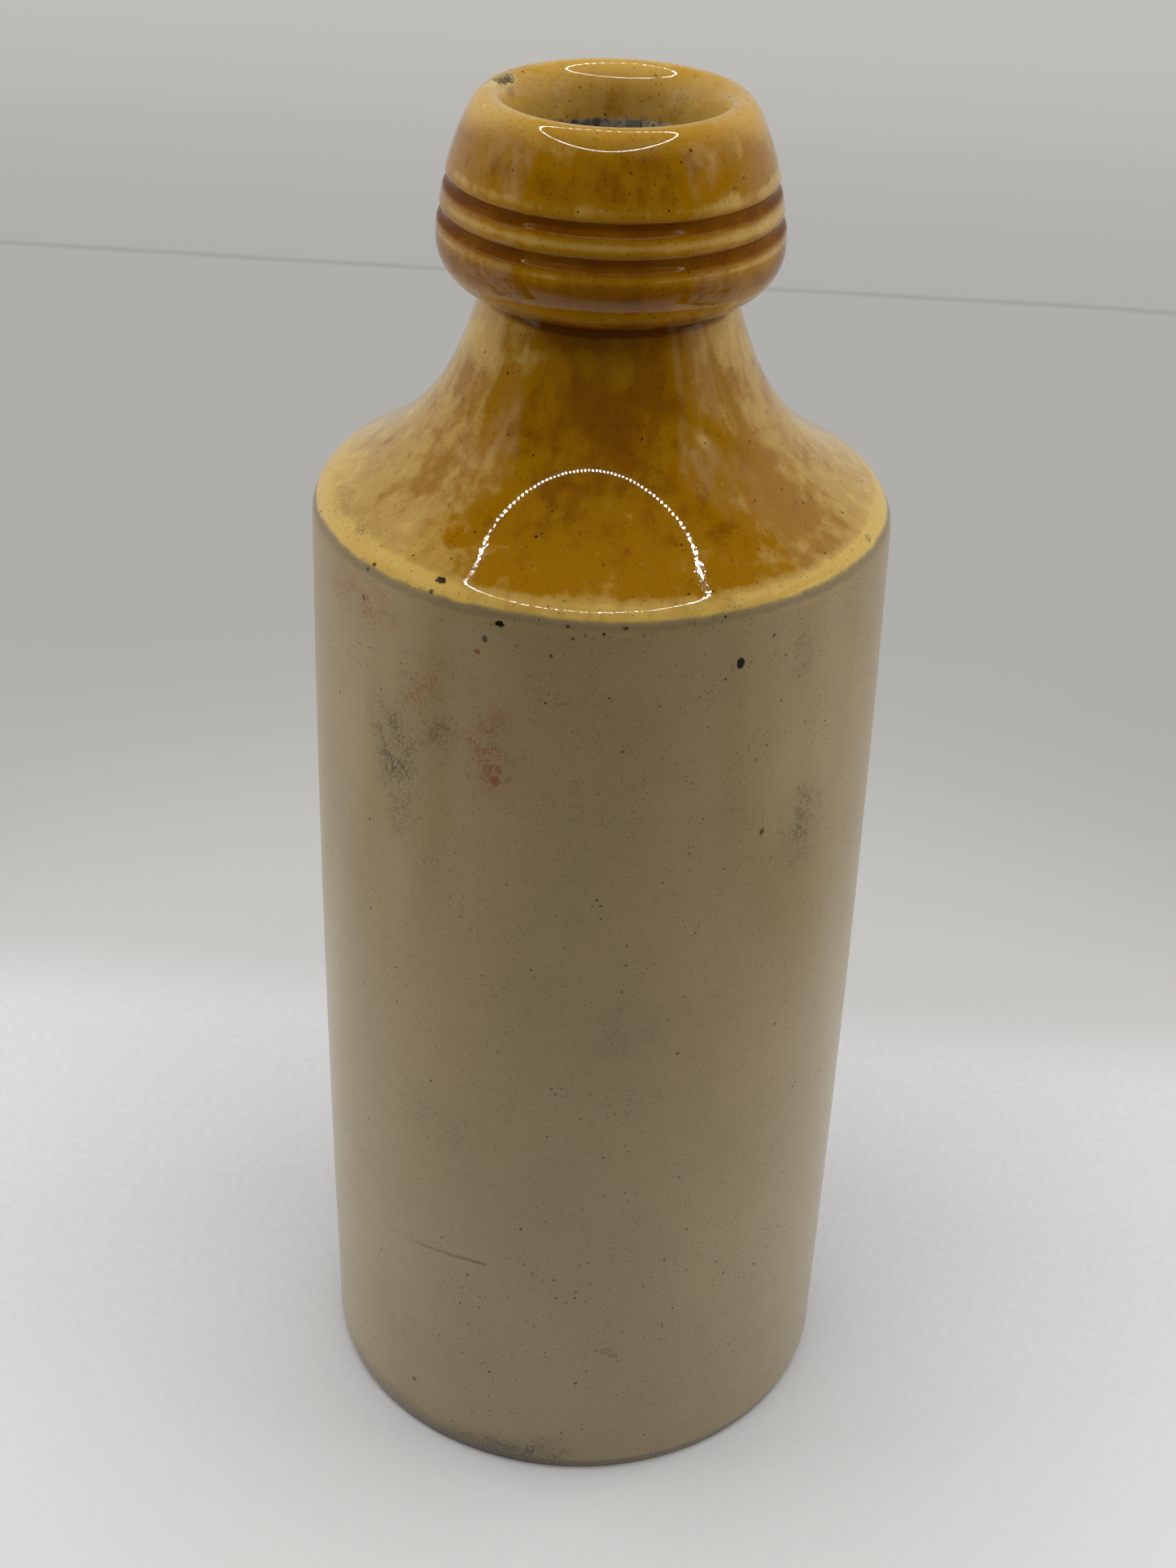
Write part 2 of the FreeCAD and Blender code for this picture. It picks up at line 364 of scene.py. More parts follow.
class Graph:
    """Short names for the nodes of one material."""

    def __init__(self, material):
        material.use_nodes = True
        self.tree = material.node_tree
        self.tree.nodes.clear()

    def plug(self, socket, value):
        if isinstance(value, bpy.types.NodeSocket):
            self.tree.links.new(value, socket)
        elif isinstance(value, tuple) and len(value) == 3 and socket.type == "RGBA":
            socket.default_value = (*value, 1.0)
        else:
            socket.default_value = value

    def node(self, kind, inputs=None, output=0, **settings):
        made = self.tree.nodes.new(kind)
        for name, value in settings.items():
            setattr(made, name, value)
        for name, value in (inputs or {}).items():
            self.plug(made.inputs[name], value)
        return made.outputs[output]

    def math(self, operation, a, b=0.0, c=0.0):
        return self.node("ShaderNodeMath", {0: a, 1: b, 2: c}, operation=operation)

    def add(self, *values):
        """Sum of two or more values."""
        made = values[0]
        for value in values[1:]:
            made = self.math("ADD", made, value)
        return made

    def mul(self, a, b):
        return self.math("MULTIPLY", a, b)

    def larger(self, a, b):
        return self.math("MAXIMUM", a, b)

    def under(self, value, limit):
        return self.math("LESS_THAN", value, limit)

    def over(self, value, limit):
        return self.math("GREATER_THAN", value, limit)

    def centred(self, noise, amount):
        """A noise from 0 to 1 turned into a swing about 0."""
        return self.mul(self.add(noise, -0.5), amount)

    def ramp(self, value, low, high, out_low=0.0, out_high=1.0):
        """Smooth step from low to high, either way round."""
        return self.node("ShaderNodeMapRange", {"Value": value, "From Min": low, "From Max": high,
                         "To Min": out_low, "To Max": out_high}, interpolation_type="SMOOTHSTEP")

    def window(self, value, low, high, soft):
        """1 between low and high, with soft edges."""
        return self.mul(self.ramp(value, low - soft, low + soft), self.ramp(value, high + soft, high - soft))

    def mix(self, factor, a, b):
        made = self.tree.nodes.new("ShaderNodeMix")
        made.data_type = "RGBA"
        for index, value in ((0, factor), (6, a), (7, b)):
            self.plug(made.inputs[index], value)
        return made.outputs[2]

    def split(self, vector):
        """The x, y and z of a vector."""
        parts = self.tree.nodes.new("ShaderNodeSeparateXYZ")
        self.plug(parts.inputs[0], vector)
        return parts.outputs

    def mix_shader(self, factor, a, b):
        made = self.tree.nodes.new("ShaderNodeMixShader")
        for index, value in enumerate((factor, a, b)):
            self.plug(made.inputs[index], value)
        return made.outputs[0]

    def surface(self, shader):
        """Sends a shader to the material's output."""
        out = self.tree.nodes.new("ShaderNodeOutputMaterial")
        self.plug(out.inputs[0], shader)

    def scaled(self, vector, scale):
        return self.node("ShaderNodeVectorMath", {0: vector, 1: scale}, operation="MULTIPLY")

    def noise(self, vector, scale, detail=2.0, roughness=0.5):
        return self.node("ShaderNodeTexNoise", {"Vector": vector, "Scale": scale, "Detail": detail,
                         "Roughness": roughness})

    def specks(self, vector, size, radius, share):
        """Round dots: cells of one size, of which a share holds a dot of up to that radius."""
        cell = self.tree.nodes.new("ShaderNodeTexVoronoi")
        self.plug(cell.inputs["Vector"], vector)
        cell.inputs["Scale"].default_value = 1.0 / size
        pick = self.node("ShaderNodeSeparateColor", {0: cell.outputs["Color"]})
        chosen = self.under(pick, share)
        reach = self.ramp(cell.outputs["Distance"], radius / size, radius / size * 0.45)
        return self.mul(chosen, reach)

    def spot(self, vector, place, size, soft=0.35):
        """Mask round one place of the surface: size is (across, up) in mm."""
        bearing, height, radius = place
        angle = math.radians(bearing)
        centre = (radius * math.cos(angle), radius * math.sin(angle), height)
        away = self.node("ShaderNodeVectorMath", {0: vector, 1: centre}, operation="SUBTRACT")
        shrunk = self.scaled(away, (1 / size[0], 1 / size[0], 1 / size[1]))
        length = self.node("ShaderNodeVectorMath", {0: shrunk}, output=1, operation="LENGTH")
        return self.ramp(length, 1.0, 1.0 - soft)


AMBER_POOL = linear((98, 53, 2))
AMBER_DEEP = linear((122, 76, 0))
AMBER = linear((143, 98, 2))
AMBER_LIGHT = linear((171, 135, 64))
AMBER_PALE = linear((194, 160, 79))
AMBER_LIP = linear((184, 138, 44))
LIP_PALE = linear((196, 157, 76))
CREAM_LOW = linear((155, 137, 103))
CREAM_HIGH = linear((147, 127, 87))
CREAM_GRAIN = linear((112, 96, 66))
CLAY = linear((168, 150, 110))
# Painted shade of the bare clay, in the chip's deeper hollow and on the wall below the chip
CLAY_PAINTED_SHADE = linear((104, 88, 62))
CLAY_EDGE = linear((206, 186, 132))
SOOT = linear((62, 58, 54))
SOOT_GREY = linear((112, 106, 96))
SOOT_PALE = linear((176, 166, 144))
SPECK = linear((44, 32, 18))
BLACK_IRON = linear((14, 11, 8))
RUST = linear((128, 68, 8))
GREEN_GREY = linear((64, 56, 28))
# Grime, and also painted shade under the shoulder edge and on the foot's bevel
GRIME_AND_SHADE = linear((74, 68, 56))

# Marks on the glaze: bearing, height, half width, half height, colour, strength
SPOTS = (
    (-62.8, 120.6, 0.56, 0.80, BLACK_IRON, 1.0),
    (-121.5, 128.0, 0.75, 0.34, BLACK_IRON, 0.95),
    (-122.6, 126.9, 0.36, 0.34, SPECK, 0.8),
    (-137.8, 127.0, 0.34, 0.34, SPECK, 0.85),
    (-138.9, 126.3, 0.30, 0.30, SPECK, 0.8),
    (-139.7, 122.7, 0.36, 0.50, SPECK, 0.7),
    (-107.8, 125.4, 0.62, 0.36, BLACK_IRON, 1.0),
    (-110.6, 123.3, 0.38, 0.45, SPECK, 0.85),
    (-112.1, 121.6, 0.44, 0.40, RUST, 0.9),
    (-98.2, 122.5, 0.24, 0.26, SPECK, 0.85),
    (-84.9, 126.1, 0.32, 0.24, SPECK, 0.8),
    (-55.8, 123.0, 0.22, 0.24, SPECK, 0.8),
    (-55.4, 98.0, 0.36, 0.50, SPECK, 0.85),
    (-95.1, 132.9, 0.28, 0.60, RUST, 0.8),
    (-83.8, 131.7, 0.42, 0.36, RUST, 0.75),
    (-30.9, 132.1, 0.30, 0.28, SPECK, 0.7),
    (-108.2, 106.1, 0.60, 0.75, RUST, 0.9),
    (-107.6, 107.6, 0.45, 0.75, RUST, 0.7),
    (-82.6, 21.9, 1.10, 0.80, GRIME_AND_SHADE, 0.28),
    (-81.2, 21.0, 0.70, 0.50, GRIME_AND_SHADE, 0.26),
    (-128.7, 8.3, 0.50, 0.50, GREEN_GREY, 0.7),
    (-23.0, 127.7, 0.70, 0.60, GREEN_GREY, 0.4),
    (38.0, 84.0, 0.42, 0.50, BLACK_IRON, 0.9),
    (96.0, 52.0, 0.34, 0.42, SPECK, 0.8),
    (151.0, 110.0, 0.40, 0.46, SPECK, 0.8),
)

# A firing crease low on the front left: bearing and height of its ends
CREASE_START, CREASE_END = (-135.8, 33.2), (-109.4, 34.6)

# Marks on the rim, and painted shadow of the chip on the inner wall below it: bearing, radius, height, half
# width, half height, colour, strength
RIM_MARKS_AND_SHADOW = (
    (-158.9, 14.75, 172.4, 0.26, 0.55, CLAY_EDGE, 0.9),
    (176.0, 13.5, 172.95, 1.2, 0.30, CLAY_EDGE, 0.55),
    (170.5, 13.2, 172.95, 0.9, 0.30, CLAY_EDGE, 0.7),
    # Painted shadow of the chip on the inner wall below it
    (168.0, 11.9, 171.7, 0.55, 0.55, CLAY_PAINTED_SHADE, 0.35),
    (163.5, 11.8, 171.6, 0.75, 0.75, CLAY_PAINTED_SHADE, 0.45),
)


# Bands of the collar where the amber lies thicker or, below 0, thinner, some of them painted shade: z from,
# z to, softness, amount
COLLAR_BANDS = (
    (165.0, 165.9, 0.9, -0.86),
    (161.5, 162.5, 0.55, -0.78),
    (158.4, 158.9, 0.4, -0.7),
    (153.5, 155.0, 0.9, -0.55),
    # Painted shade on the lower bulge, below its top and on its underside
    (155.8, 157.8, 0.8, 0.60),
    (151.2, 153.6, 0.9, 1.3),
    # The grooves: pooled amber, darkened further as painted shade
    (159.3, 161.0, 0.35, 1.35),
    (162.9, 164.5, 0.35, 1.35),
)

# Radii in mm that tell the faces at one height apart
OUTER_COLLAR, NECK, MOUTH, LOW_MOUTH, OUTER_BODY, HOLLOW_BODY = 15.4, 16.6, 13.0, 12.0, 30.0, 28.6

GLAZE_EDGE = 126.7
# Bearing halfway between the flanks, where the front of the neck is painted darkest as painted shade
FRONT_BEARING = -84.0


class Glaze(Graph):
    """Nodes of the glaze, with the place of a point in mm and the noises that its parts share."""

    def __init__(self, material):
        super().__init__(material)
        self.place = self.scaled(self.node("ShaderNodeTexCoord", output=3), (1000, 1000, 1000))
        x, self.y, self.z = self.split(self.place)
        self.radius = self.math("SQRT", self.add(self.mul(x, x), self.mul(self.y, self.y)))
        self.bearing = self.mul(self.math("ARCTAN2", self.y, x), math.degrees(1.0))
        self.broad = self.noise(self.place, 0.045, 2.0, 0.5)
        self.cloud = self.noise(self.place, 0.15, 3.0, 0.55)
        self.patch = self.noise(self.place, 0.42, 3.0, 0.6)
        self.fine = self.noise(self.place, 1.1, 3.0, 0.6)
        self.grain = self.noise(self.place, 3.4, 2.0, 0.6)
        self.crumb = self.noise(self.place, 3.0, 3.0, 0.75)
        self.streak = self.noise(self.scaled(self.place, (1.0, 1.0, 0.12)), 0.5, 2.0, 0.55)
        self.rings = self.noise(self.scaled(self.place, (0.03, 0.03, 1.0)), 1.1, 2.0, 0.6)

    def band(self, low, high, soft, amount):
        """An amount between two heights."""
        return self.mul(self.window(self.z, low, high, soft), amount)


def amber_depth_and_shade(g):
    """How thick the amber lies: thin on raised edges and pooled in the grooves, with painted shade in the
    grooves, under the collar, on the lower bulge and on the front and back of the neck and dome.
    """
    z = g.z
    on_collar = g.over(g.radius, OUTER_COLLAR)
    on_neck = g.mul(g.under(g.radius, NECK), g.under(z, 156.0))
    in_mouth = g.mul(g.under(g.radius, MOUTH), g.ramp(z, 160.0, 166.0))
    # 1 at the front and back, -1 at the flanks
    front = g.math("COSINE", g.mul(g.add(g.bearing, -FRONT_BEARING), math.radians(2.0)))
    bands = g.add(*(g.band(*row) for row in COLLAR_BANDS))
    wavering = g.ramp(g.add(g.cloud, g.centred(g.patch, 0.5)), 0.35, 0.68, 0.25, 1.1)
    toward_edge = g.ramp(g.add(z, g.centred(g.cloud, 9.0)), 134.6, 128.0, 0.0, -1.0)
    uneven = g.add(g.centred(g.cloud, 1.5), g.centred(g.patch, 1.15), g.centred(g.streak, 1.3))
    calm = g.add(1.0, g.add(g.mul(g.band(158.8, 165.2, 0.8, -0.6), on_collar), g.mul(in_mouth, -0.5)))
    return g.add(
        0.07,
        # Painted shade on the front and back of the neck and of the dome, painted light on their flanks; the
        # whole collar lies deeper
        g.mul(g.mul(front, 0.60), g.ramp(z, 152.0, 146.0)),
        g.ramp(z, 151.0, 153.0, 0.0, 0.40),
        g.mul(g.mul(front, 0.30), g.ramp(z, 163.5, 166.0)),
        # Thin over the top of the dome and in the mouth
        g.mul(g.ramp(z, 167.5, 171.0, 0.0, -0.30), on_collar),
        g.mul(g.under(g.radius, MOUTH), g.ramp(z, 166.0, 170.5, -0.95, -1.05)),
        # Uneven all over, but calmer between the grooves and in the mouth
        g.mul(g.centred(g.broad, 1.9), g.add(1.0, g.mul(in_mouth, -0.5))),
        g.mul(uneven, calm),
        g.centred(g.rings, 0.25),
        g.mul(g.mul(bands, on_collar), g.ramp(wavering, 0.2, 1.1, 0.85, 1.05)),
        # Painted shade on the neck right under the collar, strongest at the front, and painted light on the
        # neck's flanks below it
        g.mul(g.mul(g.band(150.8, 152.3, 0.35, 1.9), on_neck), g.ramp(front, -0.9, 0.2, 0.3, 1.0)),
        g.mul(g.mul(g.ramp(z, 147.4, 151.0, 0.0, 0.9), on_neck), g.ramp(front, -0.6, 0.9)),
        g.mul(g.band(144.5, 151.0, 2.4, -0.30), g.ramp(front, 0.9, 0.0)),
        # Thin toward the shoulder edge
        g.mul(g.mul(toward_edge, wavering), 0.76),
        g.ramp(z, 128.8, 127.7, 0.0, -1.1),
    )


def amber_tone(g):
    """Amber from pale, where it lies thin, to brown, where it lies thick or painted shade darkens it, with a
    pale lip.
    """
    depth = amber_depth_and_shade(g)
    amber = g.mix(g.ramp(depth, -1.15, -0.45), AMBER_PALE, AMBER_LIGHT)
    amber = g.mix(g.ramp(depth, -0.5, 0.15), amber, AMBER)
    amber = g.mix(g.ramp(depth, 0.3, 0.95), amber, AMBER_DEEP)
    amber = g.mix(g.ramp(depth, 1.0, 1.9), amber, AMBER_POOL)
    # Painted shade: toward the front the lip is kept less pale
    lip = g.ramp(g.add(g.z, g.centred(g.cloud, 2.2), g.ramp(g.y, -4.0, -12.0, 0.0, -1.2)), 168.9, 172.6)
    lip_tone = g.mix(g.ramp(g.add(g.broad, g.centred(g.patch, 0.5)), 0.34, 0.66), AMBER_LIP, LIP_PALE)
    return g.mix(lip, amber, lip_tone)


def cream_tone(g):
    """Cream with broad, ringed and grainy unevenness."""
    cream = g.mix(g.ramp(g.z, 22.0, 88.0), CREAM_LOW, CREAM_HIGH)
    broad = g.add(g.broad, g.centred(g.cloud, 0.3))
    cream = g.mix(g.ramp(broad, 0.35, 0.65, 0.0, 0.12), cream, CREAM_GRAIN)
    cream = g.mix(g.ramp(g.rings, 0.45, 0.75, 0.0, 0.06), cream, CREAM_GRAIN)
    return g.mix(g.ramp(g.grain, 0.5, 0.75, 0.0, 0.22), cream, CREAM_GRAIN)


def with_specks(g, colour):
    """Specks of three sizes and dust, in both glazes."""
    tiny = g.specks(g.scaled(g.place, (1.03, 0.98, 1.0)), 0.62, 0.15, 0.42)
    small = g.specks(g.place, 1.35, 0.21, 0.44)
    large = g.specks(g.scaled(g.place, (0.97, 1.02, 1.0)), 3.6, 0.27, 0.36)
    varied = g.ramp(g.add(g.fine, g.centred(g.cloud, 0.9)), 0.38, 0.64, 0.08, 1.15)
    dots = g.larger(g.mul(g.mul(small, varied), 0.85), g.larger(g.mul(tiny, 0.5), g.mul(large, 0.9)))
    dust = g.ramp(g.noise(g.place, 2.3, 2.0, 0.7), 0.58, 0.70, 0.0, 0.34)
    dots = g.larger(dots, g.mul(dust, g.ramp(g.cloud, 0.42, 0.6)))
    return g.mix(dots, colour, SPECK)


def with_stains(g, colour, surface_radius):
    """Speckled stains, then the single marks on the glaze, and the marks and painted chip shadow on the rim.
    """
    crumbs = g.ramp(g.add(g.crumb, g.centred(g.patch, 0.55)), 0.50, 0.60)
    broken = g.ramp(crumbs, 0.0, 1.0, 0.14, 0.85)
    kinds = (("stain_rust", RUST), ("stain_grey", GREEN_GREY), ("stain_grime", GRIME_AND_SHADE), ("stain_dark", SPECK))
    for kind, tone in kinds:
        mask = g.node("ShaderNodeAttribute", output=2, attribute_name=kind)
        colour = g.mix(g.mul(mask, broken), colour, tone)
    sway, rise = g.centred(g.grain, 0.5), g.centred(g.fine, 0.5)
    wander = g.node("ShaderNodeCombineXYZ", {0: sway, 1: rise, 2: sway})
    ragged = g.node("ShaderNodeVectorMath", {0: g.place, 1: wander}, operation="ADD")
    for bearing, height, across, up, tone, strength in SPOTS:
        mask = g.spot(ragged, (bearing, height, surface_radius(height)), (across, up), 0.3)
        colour = g.mix(g.mul(mask, strength), colour, tone)
    for bearing, rim_radius, height, across, up, tone, strength in RIM_MARKS_AND_SHADOW:
        mask = g.spot(ragged, (bearing, height, rim_radius), (across, up), 0.5)
        colour = g.mix(g.mul(mask, strength), colour, tone)
    return colour


def with_crease(g, colour):
    """The firing crease, which darkens toward its right end."""
    along = g.ramp(g.bearing, CREASE_START[0], CREASE_END[0])
    height = g.add(g.mul(along, CREASE_END[1] - CREASE_START[1]), CREASE_START[1])
    away = g.math("SUBTRACT", g.z, g.add(height, g.centred(g.fine, 0.5)))
    crease = g.mul(g.window(away, -0.22, 0.22, 0.30), g.ramp(g.bearing, -138.0, -111.0, 0.1, 1.0))
    crease = g.mul(g.mul(crease, g.ramp(g.bearing, -108.6, -110.2)), g.over(g.radius, OUTER_BODY))
    return g.mix(g.mul(crease, 0.75), colour, GRIME_AND_SHADE)


def with_foot(g, colour):
    """Painted shade on the downward-facing bevel over a thin pale rim, and grime at the front left."""
    outer = g.over(g.radius, OUTER_BODY)
    # Painted shade on the bevel, which faces down
    bevel = g.mul(g.window(g.add(g.z, g.centred(g.fine, 0.5)), 0.35, 1.7, 0.22), outer)
    colour = g.mix(g.mul(bevel, g.ramp(g.crumb, 0.35, 0.6, 0.35, 0.6)), colour, GRIME_AND_SHADE)
    grimy = g.window(g.bearing, -158.0, -96.0, 10.0)
    grime = g.mul(g.mul(g.ramp(g.add(g.z, g.centred(g.patch, 3.0)), 5.2, 1.2), grimy), outer)
    return g.mix(g.mul(grime, g.ramp(g.crumb, 0.35, 0.65, 0.40, 0.66)), colour, GRIME_AND_SHADE)


def inside_mask(g):
    """The unglazed inside: the band below the mouth and the hollow of the body."""
    ragged_edge = g.add(g.z, g.centred(g.fine, 0.9), g.centred(g.patch, 0.8))
    low_mouth = g.mul(g.ramp(ragged_edge, 167.6, 166.9), g.under(g.radius, LOW_MOUTH))
    low_mouth = g.mul(low_mouth, g.over(g.z, 120.0))
    hollow = g.mul(g.under(g.radius, HOLLOW_BODY), g.under(g.z, 147.0))
    hollow = g.mul(hollow, g.over(g.z, 5.0))
    neck_in = g.mul(g.ramp(g.z, 123.0, 147.0), 18.0)
    hollow = g.mul(hollow, g.under(g.add(g.radius, neck_in), 28.7))
    return g.larger(low_mouth, hollow)


def with_raw_clay(g, colour, inside, chip_depth, chipped):
    """Sooty clay inside, and fresh clay in the chip, painted darker as painted shade where the chip cuts
    deeper.
    """
    soot = g.mix(g.ramp(g.fine, 0.4, 0.62), SOOT, SOOT_GREY)
    pale_side = g.mul(g.ramp(g.bearing, 35.0, 60.0), g.ramp(g.bearing, 105.0, 70.0))
    soot = g.mix(g.mul(g.ramp(g.patch, 0.46, 0.58), pale_side), soot, SOOT_PALE)
    # Painted shade: the chip is darker where it cuts deeper
    flake = g.mix(g.ramp(g.add(chip_depth, g.centred(g.grain, 1.2)), 0.28, 0.62), CLAY, CLAY_PAINTED_SHADE)
    flake = g.mix(g.ramp(chip_depth, 0.16, 0.05), flake, CLAY_EDGE)
    return g.mix(chipped, g.mix(inside, colour, soot), flake)


def glaze_relief(g, chipped):
    """Bump: glaze lies in slow waves and is pebbled on the shoulder, and raw clay is grainy."""
    pebbled = g.mul(g.ramp(g.z, 137.5, 129.5, 0.0010, 0.0090), g.ramp(g.z, 126.0, 127.4, 0.15, 1.0))
    raw = g.larger(chipped, g.mul(g.ramp(g.z, 167.6, 166.9), g.under(g.radius, LOW_MOUTH)))
    waves = g.mul(g.noise(g.place, 0.06, 1.0, 0.5), 0.05)
    pebbles = g.mul(g.noise(g.place, 1.1, 2.0, 0.6), g.add(pebbled, g.mul(raw, 0.10)))
    return g.node("ShaderNodeBump", {"Height": g.add(waves, pebbles), "Distance": 0.001, "Strength": 1.0})


def glaze_material(surface_radius):
    """Two glazes over one clay: amber above the shoulder edge, cream below it."""
    material = bpy.data.materials.new("stoneware_glaze")
    g = Glaze(material)
    edge_height = g.add(GLAZE_EDGE, g.centred(g.broad, 1.2), g.centred(g.patch, 0.6))
    above_edge = g.math("SUBTRACT", g.z, edge_height)
    is_amber = g.ramp(above_edge, -0.22, 0.22)
    colour = g.mix(is_amber, cream_tone(g), amber_tone(g))
    # Painted shadow: a thin darker strip just under the shoulder edge, where the two glazes meet
    shadow_under_edge = g.mul(g.window(above_edge, -1.0, -0.15, 0.35), 0.35)
    colour = g.mix(shadow_under_edge, colour, GRIME_AND_SHADE)
    colour = with_specks(g, colour)
    colour = with_stains(g, colour, surface_radius)
    colour = with_crease(g, colour)
    colour = with_foot(g, colour)
    inside = inside_mask(g)
    chip_depth = g.node("ShaderNodeAttribute", output=2, attribute_name="chip")
    chipped = g.ramp(chip_depth, 0.01, 0.05)
    colour = with_raw_clay(g, colour, inside, chip_depth, chipped)

    bare = g.larger(inside, chipped)
    rough = g.add(g.ramp(is_amber, 0.0, 1.0, 0.24, 0.03), g.centred(g.fine, 0.012))
    rough = g.larger(rough, g.mul(bare, 0.85))
    # Groove walls and raw clay are duller
    in_grooves = g.larger(g.band(159.4, 160.9, 0.25, 1.0), g.band(163.0, 164.5, 0.25, 1.0))
    in_grooves = g.mul(in_grooves, g.over(g.radius, OUTER_COLLAR))
    gloss = g.ramp(g.larger(in_grooves, bare), 0.0, 1.0, 0.5, 0.06)
    g.surface(g.node("ShaderNodeBsdfPrincipled", {
        "Base Color": colour, "Roughness": rough, "Specular IOR Level": gloss, "IOR": 1.5,
        "Normal": glaze_relief(g, chipped),
    }))
    return material


def new_object(name, verts, faces, material):
    mesh = bpy.data.meshes.new(name)
    mesh.from_pydata(verts, [], faces)
    mesh.materials.append(material)
    obj = bpy.data.objects.new(name, mesh)
    bpy.context.scene.collection.objects.link(obj)
    return obj


# Paper: its tone and its fibres, in front of the object, behind it, where it rises, the wall and the seam
PAPER, PAPER_FIBRE, PAPER_FRONT = linear((202, 202, 203)), linear((207, 207, 208)), linear((220, 220, 218))
PAPER_BEHIND, PAPER_RISE = linear((190, 189, 186)), linear((175, 174, 170))
PAPER_WALL, PAPER_SEAM = linear((190, 189, 184)), linear((158, 157, 153))
# Paper in metres: flat out to a radius, then curved up into a wall, as a mesh of so many sides and steps
PAPER_FLAT, PAPER_CURVE, PAPER_TOP, PAPER_SIDES, PAPER_STEPS = 0.9, 0.5, 1.6, 96, 12


def floor_material():
    """Pale paper: lit by the lamps near the object, an even backdrop further out."""
    material = bpy.data.materials.new("paper_sweep")
    material.cycles.emission_sampling = "NONE"
    g = Graph(material)
    place = g.node("ShaderNodeTexCoord", output=3)
    x, y, _ = g.split(place)
    distance = g.math("SQRT", g.add(g.mul(x, x), g.mul(y, y)))
    wobble = g.noise(place, 6.0, 2.0, 0.5)
    behind = g.add(g.add(y, g.mul(x, 0.08)), g.centred(wobble, 0.012))
    fibre = g.noise(place, 900.0, 3.0, 0.6)
    near_tone = g.mix(g.ramp(fibre, 0.3, 0.7), PAPER, PAPER_FIBRE)
    near_tone = g.mix(g.ramp(y, 0.02, -0.07, 0.0, 0.8), near_tone, PAPER_FRONT)
    back_tone = g.mix(g.ramp(behind, 0.07, 0.19), PAPER_BEHIND, PAPER_RISE)
    back_tone = g.mix(g.ramp(behind, 0.42, 0.75), back_tone, PAPER_WALL)
    seam = g.window(behind, 0.432, 0.436, 0.002)
    back_tone = g.mix(g.mul(seam, 0.7), back_tone, PAPER_SEAM)
    tone = g.mix(g.ramp(behind, 0.056, 0.082), near_tone, back_tone)
    aside = g.math("ABSOLUTE", x)
    tone = g.mix(g.ramp(aside, 0.45, 0.95), tone, PAPER_BEHIND)
    paper = g.node("ShaderNodeBsdfPrincipled", {
        "Base Color": tone, "Roughness": 0.9, "Specular IOR Level": 0.1,
    })
    ray = g.tree.nodes.new("ShaderNodeLightPath").outputs
    mirrored = g.larger(ray["Is Glossy Ray"], ray["Is Transmission Ray"])
    seen = g.larger(ray["Is Camera Ray"], mirrored)
    # The room before the object is dark in the glaze, as it is with an open-fronted tent
    open_front = g.ramp(y, -0.32, -0.10, 0.05, 1.0)
    strength = g.ramp(mirrored, 0.0, 1.0, 1.0, open_front)
    even = g.node("ShaderNodeEmission", {"Color": tone, "Strength": strength})
    share = g.mul(g.larger(g.ramp(distance, 0.10, 0.24), g.ramp(aside, 0.10, 0.142)), seen)
    g.surface(g.mix_shader(share, paper, even))
    return material


def build_sweep():
    """Floor that curves up into a wall well behind the object, seen from every side."""
    verts, faces = [(0, 0, 0)], []
    profile = [(PAPER_FLAT, 0.0)]
    for i in range(1, PAPER_STEPS + 1):
        angle = math.pi / 2 * i / PAPER_STEPS
        profile.append((PAPER_FLAT + PAPER_CURVE * math.sin(angle), PAPER_CURVE * (1 - math.cos(angle))))
    profile.append((PAPER_FLAT + PAPER_CURVE, PAPER_TOP))
    for radius, height in profile:
        for i in range(PAPER_SIDES):
            angle = 2 * math.pi * i / PAPER_SIDES
            verts.append((radius * math.cos(angle), radius * math.sin(angle), height))
    for i in range(PAPER_SIDES):
        j = (i + 1) % PAPER_SIDES
        faces.append((0, 1 + i, 1 + j))
        for row in range(len(profile) - 1):
            a, b = 1 + row * PAPER_SIDES, 1 + (row + 1) * PAPER_SIDES
            faces.append((a + i, b + i, b + j, a + j))
    sweep = new_object("paper_sweep", verts, faces, floor_material())
    sweep.data.shade_smooth()


def mirror_only(obj):
    """Lets only reflections see an object."""
    obj.visible_camera = False
    obj.visible_diffuse = False
    obj.visible_shadow = False


RING_CENTRE, RING_RADIUS, RING_BEADS = (-0.013, -0.062, 0.31), 0.108, 84
BEAD_RADIUS, BEAD_GLOW, BEAD_SIDES = 0.0019, 110.0, 6


def build_ring_light():
    """Ring of small lamps overhead, which the glaze mirrors as a dotted line."""
    verts, faces = [], []
    for i in range(RING_BEADS):
        angle = 2 * math.pi * i / RING_BEADS
        cx = RING_CENTRE[0] + RING_RADIUS * math.cos(angle)
        cy = RING_CENTRE[1] + RING_RADIUS * math.sin(angle)
        base = len(verts)
        for k in range(BEAD_SIDES):
            turn = 2 * math.pi * k / BEAD_SIDES
            x, y = cx + BEAD_RADIUS * math.cos(turn), cy + BEAD_RADIUS * math.sin(turn)
            verts.append((x, y, RING_CENTRE[2]))
        faces.append(tuple(range(base, base + BEAD_SIDES)))
    material = bpy.data.materials.new("lamp_glow")
    g = Graph(material)
    g.surface(g.node("ShaderNodeEmission", {"Color": (1, 1, 1), "Strength": BEAD_GLOW}))
    ring = new_object("lamp_ring", verts, faces, material)
    mirror_only(ring)


